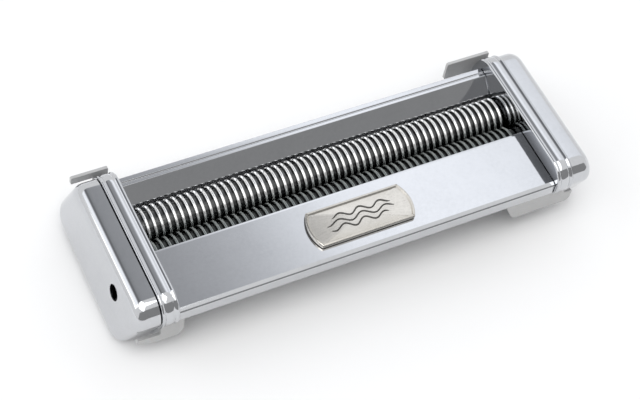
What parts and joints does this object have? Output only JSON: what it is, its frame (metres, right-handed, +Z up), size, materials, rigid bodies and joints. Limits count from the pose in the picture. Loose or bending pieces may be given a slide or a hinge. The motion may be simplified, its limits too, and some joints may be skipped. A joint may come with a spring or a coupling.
{
  "type": "pasta machine noodle cutter attachment",
  "caption": "Chromed cutting head for a roller pasta machine: two grooved rollers between side frames, sheet panels, end caps and a geared crank socket.",
  "frame": {"origin": "middle of the bounding box's bottom face, on the surface the attachment rests on", "axes": "+X along the rollers, away from the crank socket; +Y to the rear; +Z up"},
  "size_m": [0.1992, 0.0717, 0.0319],
  "materials": {
    "chromed_steel": "polished chrome plating on pressed steel",
    "turned_steel": "bright turned steel with fine ring marks",
    "gear_steel": "plain steel, lightly oiled",
    "nylon": "natural nylon",
    "zinc_steel": "zinc plated steel",
    "satin_plate": "satin warm silver with a bright edge"
  },
  "bodies": {
    "frame": {"left_side_frame": "chromed_steel", "right_side_frame": "chromed_steel", "left_end_cap": "chromed_steel", "right_end_cap": "chromed_steel", "front_panel": "chromed_steel", "rear_panel": "chromed_steel", "name_plate": "satin_plate", "left_front_bush": "nylon", "left_rear_bush": "nylon", "right_front_bush": "nylon", "right_rear_bush": "nylon", "crank_bush": "nylon", "front_comb": "zinc_steel", "rear_comb": "zinc_steel", "front_tie_rod": "zinc_steel", "rear_tie_rod": "zinc_steel", "left_front_nut": "zinc_steel", "right_front_nut": "zinc_steel", "left_rear_nut": "zinc_steel", "right_rear_nut": "zinc_steel"},
    "crank_drive": {"crank_shaft": "zinc_steel", "crank_pinion": "gear_steel"},
    "front_roller_set": {"front_roller": "turned_steel", "front_roller_gear": "gear_steel", "left_front_clip": "zinc_steel", "right_front_clip": "zinc_steel"},
    "rear_roller_set": {"rear_roller": "turned_steel", "rear_roller_gear": "gear_steel", "left_rear_clip": "zinc_steel", "right_rear_clip": "zinc_steel"}
  },
  "joints": [
    {"name": "crank_spin", "type": "hinge", "parent": "frame", "child": "crank_drive", "pos_m": [0, -0.01642, 0.0216], "axis": [1, 0, 0], "continuous": true},
    {"name": "front_roller_spin", "type": "hinge", "parent": "frame", "child": "front_roller_set", "pos_m": [0, -0.0054, 0.0147], "axis": [1, 0, 0], "continuous": true},
    {"name": "rear_roller_spin", "type": "hinge", "parent": "frame", "child": "rear_roller_set", "pos_m": [0, 0.0096, 0.0147], "axis": [1, 0, 0], "continuous": true}
  ],
  "couplings": [
    {"joint": "front_roller_spin", "follows": "crank_spin", "ratio": -0.73333},
    {"joint": "rear_roller_spin", "follows": "crank_spin", "ratio": 0.73333}
  ]
}
